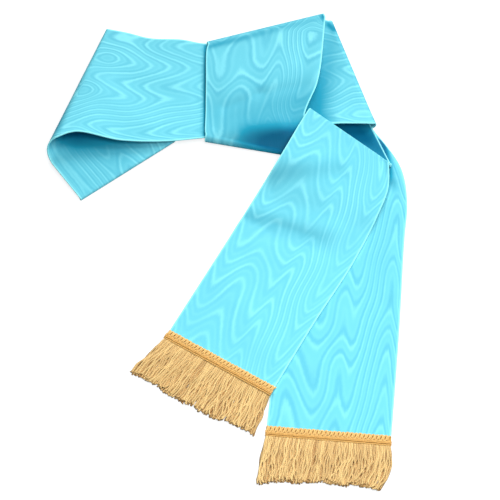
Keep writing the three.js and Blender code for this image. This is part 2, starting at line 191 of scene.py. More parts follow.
# Soft waves and creases, in plan: panel, start, end, half width, and the height at the start and at
# the end. A wave is a smooth ridge of that height along the line from start to end.
creases = [
    # the left tail: two soft waves near the knot, its right selvedge down on the other tail, and the
    # strip beside the pleat
    (0, (0.022, 0.078), (0.078, 0.082), 0.0100, 0.0013, 0.0008),
    (0, (0.020, 0.060), (0.075, 0.066), 0.0100, -0.0014, -0.0010),
    (0, (0.002, 0.040), (0.070, 0.017), 0.0095, 0.0017, 0.0014),
    (0, (-0.006, 0.023), (0.062, -0.003), 0.0095, -0.0013, -0.0009),
    (0, (0.018, 0.026), (0.056, 0.009), 0.0040, -0.0006, -0.0003),
    (0, (-0.020, -0.030), (0.010, -0.090), 0.0160, 0.0008, 0.0008),
    (0, (0.0169, -0.1341), (0.1000, 0.0110), 0.0150, -0.0006, -0.0027),
    (0, (0.1165, 0.0835), (0.1160, 0.0600), 0.0028, -0.0026, -0.0008),
    # the wrap: its lower slope, its right selvedge, and the strains that run to its lower left
    (8, (0.052, 0.1000), (0.006, 0.1050), 0.0080, -0.0020, -0.0016),
    (8, (0.026, 0.1160), (-0.010, 0.1120), 0.0080, 0.0020, 0.0004),
    (8, (0.052, 0.128), (0.064, 0.200), 0.0090, 0.0011, 0.0006),
    (8, (-0.022, 0.136), (0.010, 0.150), 0.0055, -0.0012, -0.0013),
    (8, (0.008, 0.151), (0.052, 0.158), 0.0060, -0.0013, -0.0007),
    (8, (-0.020, 0.166), (0.055, 0.178), 0.0240, 0.0022, 0.0022),
    (8, (-0.030, 0.130), (0.045, 0.132), 0.0150, -0.0007, -0.0010),
    (8, (-0.030, 0.118), (-0.008, 0.140), 0.0055, -0.0007, -0.0005),
    (8, (0.046, 0.186), (0.056, 0.216), 0.0070, -0.0008, -0.0006),
    (8, (0.000, 0.168), (0.018, 0.202), 0.0090, -0.0005, -0.0004),
    # the right tail, with the wave that the pleat leaves beside it
    (9, (0.1135, 0.1080), (0.1235, 0.0700), 0.0045, 0.0024, 0.0020),
    (9, (0.124, 0.040), (0.118, -0.040), 0.0090, 0.0012, 0.0008),
    (9, (0.060, -0.110), (0.070, -0.160), 0.0120, 0.0007, 0.0007),
    # the front of the loop: the dip beside the wrap, and its lower right lip
    (6, (-0.046, 0.195), (-0.044, 0.120), 0.0050, -0.0003, -0.0003),
    (6, (0.068, 0.205), (0.054, 0.130), 0.0140, -0.0012, -0.0012),
    (6, (0.100, 0.190), (0.105, 0.140), 0.0160, 0.0008, 0.0008),
    (6, (0.080, 0.1215), (0.112, 0.1215), 0.0110, 0.0052, 0.0060),
    (6, (-0.100, 0.180), (-0.060, 0.165), 0.0120, 0.0008, 0.0008),
    (6, (-0.150, 0.170), (-0.090, 0.120), 0.0140, 0.0010, 0.0010),
    # the corner's underside and the pocket
    (5, (-0.150, 0.075), (-0.110, 0.090), 0.0120, 0.0008, 0.0008),
    (2, (0.080, 0.112), (0.112, 0.098), 0.0120, -0.0004, -0.0004),
]
# Painted shade: places where the colour is darkened towards a deeper blue because they lie in shade, in
# hollows and troughs, under folds and beside raised edges. The rows are as above, with a depth from 0 to 1
# in the place of the height.
painted_shade_lines = [
    # the wrap: its lower slope, its middle, its top edge and the corner where it turns under
    (8, (0.060, 0.0960), (0.004, 0.1010), 0.0160, 2.20, 0.85),
    (8, (-0.026, 0.1280), (0.050, 0.1380), 0.0250, 0.18, 0.30),
    (8, (-0.0350, 0.2037), (0.0640, 0.2325), 0.0036, 0.40, 0.12),
    (8, (0.0675, 0.2350), (0.0702, 0.2262), 0.0030, 0.80, 0.40),
    # the pocket under the end fold
    (2, (0.080, 0.1260), (0.124, 0.0900), 0.0190, 1.20, 0.80),
    # the corner's underside, deepest inside the roll
    (5, (-0.172, 0.1180), (-0.100, 0.1140), 0.0130, 1.10, 0.60),
    (5, (-0.150, 0.1000), (-0.112, 0.0930), 0.0130, 0.26, 0.18),
    (5, (-0.160, 0.0850), (-0.130, 0.0700), 0.0260, 0.12, 0.08),
    # two troughs of the left tail
    (0, (-0.004, 0.0340), (0.060, 0.0090), 0.0070, 0.13, 0.09),
    (0, (0.022, 0.0690), (0.074, 0.0740), 0.0090, 0.12, 0.06),
    # the front of the loop on both sides of the wrap, and the end fold's corners
    (6, (0.070, 0.2080), (0.054, 0.1280), 0.0140, 0.26, 0.66),
    (6, (0.0710, 0.2290), (0.0765, 0.2240), 0.0032, 0.50, 0.70),
    (6, (0.056, 0.1230), (0.080, 0.1230), 0.0060, 0.25, 0.00),
    (6, (-0.0400, 0.2060), (-0.0398, 0.1080), 0.0020, 0.60, 0.70),
    # the right tail, beside the pleat
    (9, (0.1150, 0.1080), (0.1258, 0.0540), 0.0042, 1.50, 0.00),
]
# A lifted place also leans this much forwards for each metre up, as cloth that hangs over an edge.
lift_lean = np.array([0, -0.55, 1.0])


def sum_of_lines(table, points, panels):
    """The sum of a table's rows at each point, (n, m): value exp(-(d / width)^2), with d the distance
    in plan from the row's line, on the row's own panel and, fading out, on the folds beside it."""
    total = np.zeros(points.shape[:2])
    for panel, start, end, width, first, last in table:
        start, end = np.array(start), np.array(end)
        run = end - start
        share = np.clip(((points[..., :2] - start) @ run) / (run @ run), 0, 1)
        nearest = start + share[..., None] * run
        distance = np.linalg.norm(points[..., :2] - nearest, axis=2)
        own = np.clip(1 - np.abs(panels - panel), 0, 1)[:, None]
        total += (first + (last - first) * share) * np.exp(-((distance / width) ** 2)) * own
    return total


# How the watered lines run on each visible stretch: its first and last panel, its lines per metre,
# the phase where it starts, seven places across the width, and how far the lines run ahead there,
# counted in lines. A line bends towards the ribbon's start where it runs ahead.
water_runs = [
    (0, 0, 41.7, 0.05, (0, 0.10, 0.28, 0.52, 0.60, 0.90, 1), (0.5, 1.26, 0, 1.6, 0.72, 5.6, 4.4)),
    (6, 6, 44.0, 0.50, (0, 0.07, 0.275, 0.475, 0.60, 0.93, 1), (0.9, 1.4, -1.0, 0.95, -0.15, 4.9, 3.6)),
    (8, 8, 31.0, 0.26, (0, 0.11, 0.31, 0.50, 0.63, 0.88, 1), (0.3, 1.23, 0, 0.9, -0.2, 4.8, 4.5)),
    (9, 9, 34.0, 0.36, (0, 0.12, 0.34, 0.54, 0.62, 0.92, 1), (0.2, 1.2, 0, 1.85, 1.25, 6.1, 4.9)),
]
# Eyes in the pattern, in plan: panel, middle, radius, and the lines that close round the middle.
water_eyes = [
    (6, (-0.1269, 0.1894), 0.011, -1.2),
    (6, (-0.1440, 0.1541), 0.011, -1.2),
]
# How far the lines wander: a number of slow waves, and the height of each, counted in lines.
wander_waves = 9
wander_height = 0.085
# How strong the bright lines and their dark flanks are on the visible panels, as the ribs face the
# light, and on all others.
line_strengths = {0: (0.75, 0.25), 6: (0.9, 0.55), 8: (0.9, 0.7), 9: (0.55, 1.0)}
other_strengths = (0.8, 0.6)


def eased(share):
    """From 0 to 1: a quarter straight line and three quarters smooth step."""
    return 0.25 * share + 0.75 * share * share * (3 - 2 * share)


def water_phase(points, cloth, panels):
    """The phase of the watered lines, (n, m), with a bright line wherever it is a whole number:
    lines per metre x length + phase + run ahead + wander + eyes. Between two stretches it passes from
    one's to the next's. The wander is a sum of slow sines, and an eye is depth exp(-(d / radius)^2)."""
    share, length = cloth[..., 0] / ribbon_width, cloth[..., 1]
    row_length = length.mean(1)
    phase, phase_before, stop_before = None, None, None
    for first, last, lines, start_phase, places, ahead in water_runs:
        rows = np.flatnonzero((panels >= first) & (panels <= last))
        start, stop = row_length[rows[0]], row_length[rows[-1]]
        places, ahead = np.array(places), np.array(ahead)
        k = np.clip(np.searchsorted(places, share, side="right") - 1, 0, len(places) - 2)
        step = (share - places[k]) / (places[k + 1] - places[k])
        here = lines * (length - start) + start_phase + ahead[k] + (ahead[k + 1] - ahead[k]) * eased(step)
        if phase is None:
            phase = here
        else:
            passed = np.clip((length - stop_before) / (start - stop_before), 0, 1)
            phase = phase + (here - phase_before) * passed * passed * (3 - 2 * passed)
        phase_before, stop_before = here, stop
    rng = np.random.default_rng(3)
    for _ in range(wander_waves):
        turn = rng.uniform(4, 18) * length + rng.uniform(-2.4, 2.4) * share + rng.random()
        phase = phase + wander_height * np.sin(2 * math.pi * turn)
    for panel, middle, radius, depth in water_eyes:
        distance = np.linalg.norm(points[..., :2] - middle, axis=2)
        phase = phase + depth * np.exp(-((distance / radius) ** 2)) * (panels == panel)[:, None]
    return phase


def panel_strengths(panels, across):
    """The strengths of the bright lines and of their dark flanks at each point, two arrays (n, m). On
    the fold between two panels they go evenly from the one's to the next's."""
    numbers = np.arange(int(panels.max()) + 1)
    values = np.array([line_strengths.get(number, other_strengths) for number in numbers.tolist()])
    return [np.interp(panels, numbers, column)[:, None] + 0 * across for column in values.T]


def wall_mesh(name, points, cloth, marks, wall):
    """A closed wall round a grid of points (n, m, 3). Each face is half a wall off the grid along its
    normal, and each selvedge is rounded in two lips, one for each ply, with a groove between them.
    The cloth coordinates and the named marks, one number a point, go round with the wall."""
    across = np.gradient(points, axis=1)
    along = np.gradient(points, axis=0)
    normals = np.cross(across, along)
    normals /= np.linalg.norm(normals, axis=2)[..., None]
    half = wall / 2
    lip_out = np.array([0.00016, 0.00024, 0.00020, 0.00008, 0.00020, 0.00024, 0.00016])
    lip_up = np.array([0.82, 0.5, 0.16, 0, -0.16, -0.5, -0.82]) * half

    def lips(column, sign):
        out = sign * across[:, column] / np.linalg.norm(across[:, column], axis=1)[:, None]
        return (
            points[:, column, None]
            + out[:, None] * lip_out[None, :, None]
            + normals[:, column, None] * lip_up[None, :, None]
        )

    upper = points + normals * half
    lower = (points - normals * half)[:, ::-1]
    rings = np.concatenate([upper, lips(-1, 1), lower, lips(0, -1)[:, ::-1]], axis=1)
    lip_count = len(lip_up)

    def round_the_wall(values):
        """Values on the grid, carried over the upper face, one selvedge, the lower face, the other."""
        right = np.repeat(values[:, -1:], lip_count, axis=1)
        left = np.repeat(values[:, :1], lip_count, axis=1)
        return np.concatenate([values, right, values[:, ::-1], left], axis=1)

    coordinates = round_the_wall(cloth)
    sections, around = rings.shape[:2]
    i, j = np.meshgrid(np.arange(sections - 1), np.arange(around), indexing="ij")
    after = (j + 1) % around
    faces = np.stack(
        [i * around + j, i * around + after, (i + 1) * around + after, (i + 1) * around + j], axis=-1
    ).reshape(-1, 4)
    mesh = bpy.data.meshes.new(name)
    ends = [list(range(around))[::-1], [(sections - 1) * around + k for k in range(around)]]
    mesh.from_pydata(rings.reshape(-1, 3), [], faces.tolist() + ends)
    layer = mesh.uv_layers.new(name="cloth")
    corner = np.empty(len(mesh.loops), int)
    mesh.loops.foreach_get("vertex_index", corner)
    layer.data.foreach_set("uv", coordinates.reshape(-1, 2)[corner].ravel())
    for mark, values in marks.items():
        attribute = mesh.attributes.new(mark, "FLOAT", "POINT")
        attribute.data.foreach_set("value", round_the_wall(values).ravel())
    mesh.shade_smooth()
    return mesh


def add_piece(name, mesh, node, material):
    """Puts a finished mesh in the scene for the CAD node that it stands for."""
    piece = bpy.data.objects.new(name, mesh)
    bpy.context.scene.collection.objects.link(piece)
    mesh.materials.append(material)
    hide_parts(node)
    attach(piece, "root")
    return piece


def new_material(name):
    material = bpy.data.materials.new(name)
    material.use_nodes = True
    nodes, links = material.node_tree.nodes, material.node_tree.links
    return material, nodes, links, nodes["Principled BSDF"]


def maths(nodes, links, operation, first, second=None, third=None):
    """One Math node on sockets or numbers; gives its output."""
    node = nodes.new("ShaderNodeMath")
    node.operation = operation
    for socket, value in zip(node.inputs, (first, second, third)):
        if value is None:
            continue
        if isinstance(value, (int, float)):
            socket.default_value = value
        else:
            links.new(value, socket)
    return node.outputs[0]


def noise(nodes, links, vector, scale, detail=2.0, roughness=0.5):
    """One Noise node of the given size on a vector; gives its value, from 0 to 1."""
    node = nodes.new("ShaderNodeTexNoise")
    node.inputs["Scale"].default_value = scale
    node.inputs["Detail"].default_value = detail
    node.inputs["Roughness"].default_value = roughness
    links.new(vector, node.inputs["Vector"])
    return node.outputs["Fac"]


def stretched(nodes, links, vector, scale, place=(0, 0, 0)):
    """A Mapping node that scales a vector and moves it; gives its vector."""
    node = nodes.new("ShaderNodeMapping")
    node.inputs["Scale"].default_value = scale
    node.inputs["Location"].default_value = place
    links.new(vector, node.inputs["Vector"])
    return node.outputs["Vector"]


def mixed_colour(nodes, links, share, first, second):
    """The first colour where the share is 0 and the second where it is 1."""
    node = nodes.new("ShaderNodeMix")
    node.data_type = "RGBA"
    for socket, colour in ((node.inputs["A"], first), (node.inputs["B"], second)):
        if isinstance(colour, tuple):
            socket.default_value = (*colour, 1)
        else:
            links.new(colour, socket)
    links.new(share, node.inputs["Factor"])
    return node.outputs["Result"]


def mark(nodes, name):
    """The mesh's own number of that name at each point."""
    node = nodes.new("ShaderNodeAttribute")
    node.attribute_name = name
    return node.outputs["Fac"]


def narrow_line(nodes, links, phase, lead, sharpness):
    """A line where phase + lead is a whole number: (0.5 + 0.5 cos(2 pi (phase + lead)))^sharpness."""
    turn = maths(nodes, links, "MULTIPLY_ADD", phase, 2 * math.pi, 2 * math.pi * lead)
    wave = maths(nodes, links, "MULTIPLY_ADD", maths(nodes, links, "COSINE", turn), 0.5, 0.5)
    return maths(nodes, links, "POWER", wave, sharpness)


water_shadow = (0.118, 0.515, 0.645)
water_ground = (0.156, 0.600, 0.710)
water_light = (0.250, 0.750, 0.835)
selvedge_painted_highlight = (0.330, 0.900, 0.940)
# Painted shade: the colours that a shaded place is darkened towards, half way down and deepest.
half_painted_shade = (0.016, 0.310, 0.450)
deepest_painted_shade = (0.001, 0.130, 0.250)
# Each kind of line: where it lies between two whole numbers of the phase, and how narrow it is.
bright_line = (0, 6.0)
flank_line = (0.24, 3.0)
faint_line = (0.5, 8.0)
faint_strength = 0.22
# How much a line frays, counted in lines, and how dark the clouds in the ground are.
fray_height = 0.16
cloud_strength, cloud_start = 0.6, 0.2
# The painted highlight on the selvedges, which also lightens their shaded sides: its full width, where it
# ends, and its share of the colour.
selvedge_full, selvedge_end, selvedge_share = 0.0004, 0.0014, 0.9
rib_pitch = 0.00045
rib_height = 0.3


def watered_ribbon():
    """Watered ribbon: bright lines with a darker flank where the pressed ribs catch the light, at the whole
    numbers of the mesh's own water phase, with a faint line half way between. They are strong in some
    places and weak in others. Painted shade deepens the colour by the mesh's own depth mark, fine ribs run
    straight across, and the selvedges carry a painted highlight."""
    material, nodes, links, shader = new_material("watered ribbon")
    uv = nodes.new("ShaderNodeUVMap")
    uv.uv_map = "cloth"
    cloth = uv.outputs["UV"]
    fray = noise(nodes, links, stretched(nodes, links, cloth, (420, 160, 1)), 1.0, 2.0, 0.6)
    phase = maths(nodes, links, "MULTIPLY_ADD", fray, fray_height, mark(nodes, "water"))
    bright = narrow_line(nodes, links, phase, *bright_line)
    flank = narrow_line(nodes, links, phase, *flank_line)
    faint = narrow_line(nodes, links, phase, *faint_line)
    strength = noise(nodes, links, stretched(nodes, links, cloth, (38, 24, 1), (9, 2, 0)), 1.0, 1.0, 0.4)
    strength = maths(nodes, links, "MULTIPLY_ADD", strength, 1.5, 0.15)
    cloud = noise(nodes, links, stretched(nodes, links, cloth, (60, 26, 1), (4, 7, 0)), 1.0, 2.0, 0.5)
    tone = maths(nodes, links, "MULTIPLY", bright, strength)
    tone = maths(nodes, links, "MULTIPLY_ADD", faint, faint_strength, tone)
    tone = maths(nodes, links, "MULTIPLY", tone, mark(nodes, "bright"))
    dark = maths(nodes, links, "MULTIPLY", flank, strength)
    dark = maths(nodes, links, "MULTIPLY", dark, mark(nodes, "dark"))
    dark = maths(nodes, links, "MULTIPLY_ADD", cloud, cloud_strength, dark)
    dark = maths(nodes, links, "SUBTRACT", dark, cloud_start)
    shade = mixed_colour(nodes, links, dark, water_ground, water_shadow)
    shade = mixed_colour(nodes, links, tone, shade, water_light)
    # Painted shade: the colour darkens by the mesh's depth mark towards the two painted shade colours.
    depth = mark(nodes, "depth")
    shade = mixed_colour(nodes, links, maths(nodes, links, "MULTIPLY", depth, 2.0), shade, half_painted_shade)
    deepest = maths(nodes, links, "MULTIPLY_ADD", depth, 2.0, -1.0)
    shade = mixed_colour(nodes, links, deepest, shade, deepest_painted_shade)
    # Painted highlight along the selvedges, which also lightens their shaded side faces.
    places = nodes.new("ShaderNodeSeparateXYZ")
    links.new(cloth, places.inputs[0])
    middle = maths(nodes, links, "SUBTRACT", places.outputs["X"], ribbon_width / 2)
    inwards = maths(nodes, links, "SUBTRACT", ribbon_width / 2, maths(nodes, links, "ABSOLUTE", middle))
    edge = nodes.new("ShaderNodeMapRange")
    edge.inputs["From Min"].default_value = selvedge_full
    edge.inputs["From Max"].default_value = selvedge_end
    edge.inputs["To Min"].default_value = selvedge_share
    edge.inputs["To Max"].default_value = 0.0
    links.new(inwards, edge.inputs["Value"])
    shade = mixed_colour(nodes, links, edge.outputs["Result"], shade, selvedge_painted_highlight)
    links.new(shade, shader.inputs["Base Color"])
    links.new(maths(nodes, links, "MULTIPLY_ADD", tone, -0.08, 0.47), shader.inputs["Roughness"])
    shader.inputs["Specular IOR Level"].default_value = 0.06
    shader.inputs["Sheen Weight"].default_value = 0.02
    shader.inputs["Sheen Roughness"].default_value = 0.4
    turn = maths(nodes, links, "MULTIPLY", places.outputs["Y"], 2 * math.pi / rib_pitch)
    rib = maths(nodes, links, "SINE", turn)
    height = maths(nodes, links, "MULTIPLY_ADD", rib, rib_height, tone)
    bump = nodes.new("ShaderNodeBump")
    bump.inputs["Strength"].default_value = 0.2
    bump.inputs["Distance"].default_value = 0.00015
    links.new(height, bump.inputs["Height"])
    links.new(bump.outputs["Normal"], shader.inputs["Normal"])
    return material


# The places across the width where the wall has its points, closer together at both selvedges.
across = np.concatenate([[0, 0.004, 0.012], np.linspace(0.03, 0.97, 43), [0.988, 0.996, 1]])
lines, panels = ribbon_lines()
points = lines[:, :1] * (1 - across[None, :, None]) + lines[:, 1:] * across[None, :, None]
# Painted shade: how much each point's colour is darkened, from the painted shade table, kept as the depth
# mark.
depth = np.clip(sum_of_lines(painted_shade_lines, points, panels), 0, 1)
points = points + sum_of_lines(creases, points, panels)[..., None] * lift_lean
points[..., 2] = np.maximum(points[..., 2], ribbon_wall / 2)
cloth = cloth_coordinates(lines, panels, across)
bright, dark = panel_strengths(panels, across)
marks = {"water": water_phase(points, cloth, panels), "depth": depth, "bright": bright, "dark": dark}
ribbon_mesh = wall_mesh("ribbon_cloth", points - layout_centre, cloth, marks, ribbon_wall)
ribbon = add_piece("ribbon_cloth", ribbon_mesh, "ribbon", watered_ribbon())

# The braid headings
# Gold gimp braid: two cords wound flat round a core tape, with three plain cords laid along the lower
# edge. It is sewn on the ribbon's end and hides where the fringe begins.

heading_depth = 0.009
heading_overhang = 0.0024


def end_frame(line, inner):
    """The frame of a ribbon end: origin at its left corner, along the end, outward and up."""
    along = line[1] - line[0]
    width = np.linalg.norm(along)
    along = along / width
    up = np.array([0, 0, 1]) - along * along[2]
    up /= np.linalg.norm(up)
    outward = np.cross(along, up)
    if np.dot(outward, line[0] - inner[0]) < 0:
        outward = -outward
    return {"origin": line[0] - layout_centre, "along": along, "outward": outward, "up": up, "width": width}


def in_frame(end, along, outward, up):
    """Points from their coordinates in an end frame: origin + along a + outward b + up c."""
    return (
        end["origin"]
        + along[..., None] * end["along"]
        + outward[..., None] * end["outward"]
        + up[..., None] * end["up"]
    )


def tube_rings(paths, radii, sides, flat=1.0):
    """Rings round many paths at once, (k, n, sides, 3), for paths (k, n, 3) and radii (k, n): the
    point at angle a is path + radius (side cos a + flat over sin a), with side level and square to
    the path, and over square to both."""
    run = np.gradient(paths, axis=1)
    run /= np.linalg.norm(run, axis=2)[..., None] + 1e-12
    side = np.cross(run, [0, 0, 1.0])
    side /= np.linalg.norm(side, axis=2)[..., None] + 1e-9
    over = np.cross(run, side)
    a = np.linspace(0, 2 * math.pi, sides, endpoint=False)
    ring = side[:, :, None] * np.cos(a)[:, None] + flat * over[:, :, None] * np.sin(a)[:, None]
    return paths[:, :, None] + ring * radii[..., None, None]


def tube_mesh(name, groups):
    """One mesh of closed tubes. Each group is (rings, uv, tone): rings (k, n, sides, 3), uv (k, n, 2)
    in metres along the cord, and a tone from 0 to 1 for each of its k cords."""
    vertices, faces, caps, uvs, tones = [], [], [], [], []
    start = 0
    for rings, lengths, tone in groups:
        count, n, sides = rings.shape[:3]
        vertices.append(rings.reshape(-1, 3))
        k, i, j = np.meshgrid(np.arange(count), np.arange(n - 1), np.arange(sides), indexing="ij")
        after = (j + 1) % sides
        here = start + (k * n + i) * sides
        quads = np.stack([here + j, here + after, here + sides + after, here + sides + j], -1)
        faces.append(quads.reshape(-1, 4))
        corners = np.arange(sides)
        first = start + np.arange(count)[:, None] * n * sides + corners[None, ::-1]
        last = start + (np.arange(count)[:, None] * n + n - 1) * sides + corners[None]
        caps += first.tolist() + last.tolist()
        turn = np.broadcast_to(np.arange(sides) / sides, (count, n, sides))
        run = np.broadcast_to(lengths[:, :, None], (count, n, sides))
        uvs.append(np.stack([turn, run], -1).reshape(-1, 2))
        tones.append(np.broadcast_to(tone[:, None, None], (count, n, sides)).ravel())
        start += count * n * sides
    mesh = bpy.data.meshes.new(name)
    mesh.from_pydata(np.concatenate(vertices), [], np.concatenate(faces).tolist() + caps)
    layer = mesh.uv_layers.new(name="cord")
    corner = np.empty(len(mesh.loops), int)
    mesh.loops.foreach_get("vertex_index", corner)
    layer.data.foreach_set("uv", np.concatenate(uvs)[corner].ravel())
    attribute = mesh.attributes.new("tone", "FLOAT", "POINT")
    attribute.data.foreach_set("value", np.concatenate(tones))
    mesh.shade_smooth()
    return mesh


def path_lengths(paths):
    """The length along each path up to each of its points, (k, n)."""
    steps = np.linalg.norm(np.diff(paths, axis=1), axis=2)
    return np.concatenate([np.zeros((len(paths), 1)), np.cumsum(steps, axis=1)], axis=1)


def box_rings(end, low, high):
    """A plain block in an end frame as one four sided tube from its left side to its right."""
    along = np.array([low[0], high[0]])[:, None] + np.zeros(4)
    outward = np.zeros((2, 1)) + np.array([low[1], low[1], high[1], high[1]])
    up = np.zeros((2, 1)) + np.array([low[2], high[2], high[2], low[2]])
    return in_frame(end, along, outward, up)[None]


def cord_group():
    """The node group of a twisted cord: its plies slant round it, ply = 0.5 + 0.5 sin(2 pi plies (turn +
    run / twist)), with painted shade in their grooves. Each cord has its own tone, and fine dust of lighter
    and darker fibres lies over all."""
    group = bpy.data.node_groups.new("twisted cord", "ShaderNodeTree")
    for name in ("Turn", "Run", "Tone", "Twist", "Plies"):
        group.interface.new_socket(name=name, in_out="INPUT", socket_type="NodeSocketFloat")
    for name in ("Light", "Dark"):
        group.interface.new_socket(name=name, in_out="INPUT", socket_type="NodeSocketColor")
    group.interface.new_socket(name="Colour", in_out="OUTPUT", socket_type="NodeSocketColor")
    group.interface.new_socket(name="Height", in_out="OUTPUT", socket_type="NodeSocketFloat")
    nodes, links = group.nodes, group.links
    inlet = nodes.new("NodeGroupInput").outputs
    outlet = nodes.new("NodeGroupOutput").inputs
    slant = maths(nodes, links, "DIVIDE", inlet["Run"], inlet["Twist"])
    slant = maths(nodes, links, "ADD", slant, inlet["Turn"])
    slant = maths(nodes, links, "MULTIPLY", slant, inlet["Plies"])
    wave = maths(nodes, links, "SINE", maths(nodes, links, "MULTIPLY", slant, 2 * math.pi))
    ply = maths(nodes, links, "MULTIPLY_ADD", wave, 0.5, 0.5)
    place = nodes.new("ShaderNodeTexCoord").outputs["Object"]
    fibres = noise(nodes, links, place, 1400.0, 2.0, 0.6)
    tone = maths(nodes, links, "MULTIPLY_ADD", ply, 0.3, -0.15)
    tone = maths(nodes, links, "ADD", tone, inlet["Tone"])
    tone = maths(nodes, links, "MULTIPLY_ADD", fibres, 0.3, tone)
    tone = maths(nodes, links, "SUBTRACT", tone, 0.15)
    links.new(mixed_colour(nodes, links, tone, inlet["Dark"], inlet["Light"]), outlet["Colour"])
    links.new(maths(nodes, links, "MULTIPLY_ADD", fibres, 0.3, ply), outlet["Height"])
    return group


twisted_cord = cord_group()


def gold_cord(name, light, dark, twist, plies):
    """A gold yarn: the twisted cord group on the mesh's cord coordinates and its own tone."""
    material, nodes, links, shader = new_material(name)
    uv = nodes.new("ShaderNodeUVMap")
    uv.uv_map = "cord"
    parts = nodes.new("ShaderNodeSeparateXYZ")
    links.new(uv.outputs["UV"], parts.inputs[0])
    cord = nodes.new("ShaderNodeGroup")
    cord.node_tree = twisted_cord
    links.new(parts.outputs["X"], cord.inputs["Turn"])
    links.new(parts.outputs["Y"], cord.inputs["Run"])
    links.new(mark(nodes, "tone"), cord.inputs["Tone"])
    cord.inputs["Twist"].default_value = twist
    cord.inputs["Plies"].default_value = plies
    cord.inputs["Light"].default_value = (*light, 1)
    cord.inputs["Dark"].default_value = (*dark, 1)
    links.new(cord.outputs["Colour"], shader.inputs["Base Color"])
    shader.inputs["Roughness"].default_value = 0.5
    shader.inputs["Specular IOR Level"].default_value = 0.4
    shader.inputs["Sheen Weight"].default_value = 0.15
    bump = nodes.new("ShaderNodeBump")
    bump.inputs["Strength"].default_value = 0.5
    bump.inputs["Distance"].default_value = 0.0002
    links.new(cord.outputs["Height"], bump.inputs["Height"])
    links.new(bump.outputs["Normal"], shader.inputs["Normal"])
    return material


gimp_pitch = 0.0034
gimp_radius = 0.00085
gimp_band = 0.0060
# The coils lean by this much in height and loop by this much along the braid as they go round.
gimp_height, gimp_lean, gimp_loop = 0.0019, 0.0005, 0.0007
gimp_flatness = 0.75
# The wound cords' phase, in turns, and tone.
gimp_cords = [(0, 0.85), (0.5, 0.65)]
# The braid is this much longer than the ribbon's width at each side, and its core half as much.
side_overlap = 0.0008
edge_radius = 0.00075
# The cords along the lower edge: how far each lies in from the edge, its height, and its tone.
edge_cords = [(0.0006, 0.0015, 0.45), (0.0019, 0.0020, 0.25), (0.0031, 0.0019, 0.50)]


def heading_mesh(name, end):
    """The braid: two flat coils half a pitch apart, outward = middle + depth cos a, along = pitch
    a / 2 pi + loop sin a, up = height + lean sin a, which make the scalloped upper edge; the core tape
    inside them, and the plain cords along the lower edge."""
    back = heading_overhang - heading_depth
    reach = end["width"] + 2 * side_overlap
    turns = int(reach / gimp_pitch)
    angle = np.linspace(0, 2 * math.pi * turns, turns * 20)
    depth = gimp_band / 2 - gimp_radius
    groups = []
    for strand, (start, tone) in enumerate(gimp_cords):
        wobble = 0.00015 * np.sin(angle * 0.37 + strand) + 0.0001 * np.sin(angle * 0.11)
        coil = in_frame(
            end,
            gimp_pitch * (angle / (2 * math.pi) + start / 2) - side_overlap + gimp_loop * np.sin(angle),
            back + gimp_band / 2 + (depth + wobble) * np.cos(angle + 2 * math.pi * start),
            gimp_height + gimp_lean * np.sin(angle + 2 * math.pi * start),
        )[None]
        rings = tube_rings(coil, np.full(coil.shape[:2], gimp_radius), 6, gimp_flatness)
        groups.append((rings, path_lengths(coil), np.array([tone])))
    run = np.linspace(-side_overlap, end["width"] + side_overlap, 180)
    for place, height, tone in edge_cords:
        sway = 0.0001 * np.sin(run * 700 + 900 * place)
        edge = in_frame(end, run, heading_overhang - place + sway, height + 0 * run)[None]
        rings = tube_rings(edge, np.full(edge.shape[:2], edge_radius), 8)
        groups.append((rings, path_lengths(edge), np.array([tone])))
    core = box_rings(
        end,
        (-side_overlap / 2, back + 0.0008, 0.0012),
        (end["width"] + side_overlap / 2, heading_overhang - 0.0002, 0.0018),
    )
    groups.append((core, np.zeros((1, 2)), np.array([0.2])))
    return tube_mesh(name, groups)


ends = {"left": end_frame(lines[0], lines[1]), "right": end_frame(lines[-1], lines[-2])}
braid_gold = gold_cord("gold braid", (0.84, 0.52, 0.17), (0.58, 0.27, 0.04), 0.0030, 3)
for side, end in ends.items():
    name = f"heading_cord_{side}"
    add_piece(name, heading_mesh(name, end), f"heading_{side}", braid_gold)

# The fringes
# Twisted gold cords, looped at the tip, hang in three layers from a narrow tape under the heading.
# They lie on the surface in loose waves, and the left one's last cords lie over the right tail's edge.

# How each fringe lies, in plan: the tips of its first and last cord, how far its lower edge bellies
# out between them, and how far its first and last cords bow out sideways.
fringe_lay = {
    "left": {
        "tips": ((-0.0978, -0.1140), (0.0034, -0.1695)),
        "belly": 0.0040,
        "bow": (0, 0),
        "seed": 5,
    },
    "right": {
        "tips": ((0.0055, -0.2108), (0.1012, -0.2158)),
        "belly": -0.0022,
        "bow": (0.001, 0.005),
        "seed": 9,
    },
}
# The layers from the bottom: cords, height, own sway, shared sway, tone and its spread, and the most that a
# cord may be short by, as a share of its length. The lower layers' darker tones are painted shade under the
# cords above.
fringe_layers = [
    (96, 0.0009, 0.0003, 0.0002, 0.10, 0.08, 0.05),
    (92, 0.0018, 0.0006, 0.0004, 0.48, 0.18, 0.07),
    (78, 0.0027, 0.0008, 0.0006, 0.74, 0.18, 0.10),
]
cord_radius = 0.00072
cord_sides = 6
points_on_a_cord = 32
# A cord's tip turns from this share of its length on, and is this much thinner than the rest.
hook_start = 0.93
tip_share = 0.55
tape_depth = 0.0034
tape_tone = 0.2
# How much longer or shorter a whole lock of neighbouring cords is.
lock_step = 0.0009
# The edge of the right tail that the left fringe crosses, in plan, at its lower and its upper end,
# and how far the cords take to climb over it.
crossed_edge = ((0.0129, -0.1682), (0.0230, -0.0760))
climb_length = 0.002


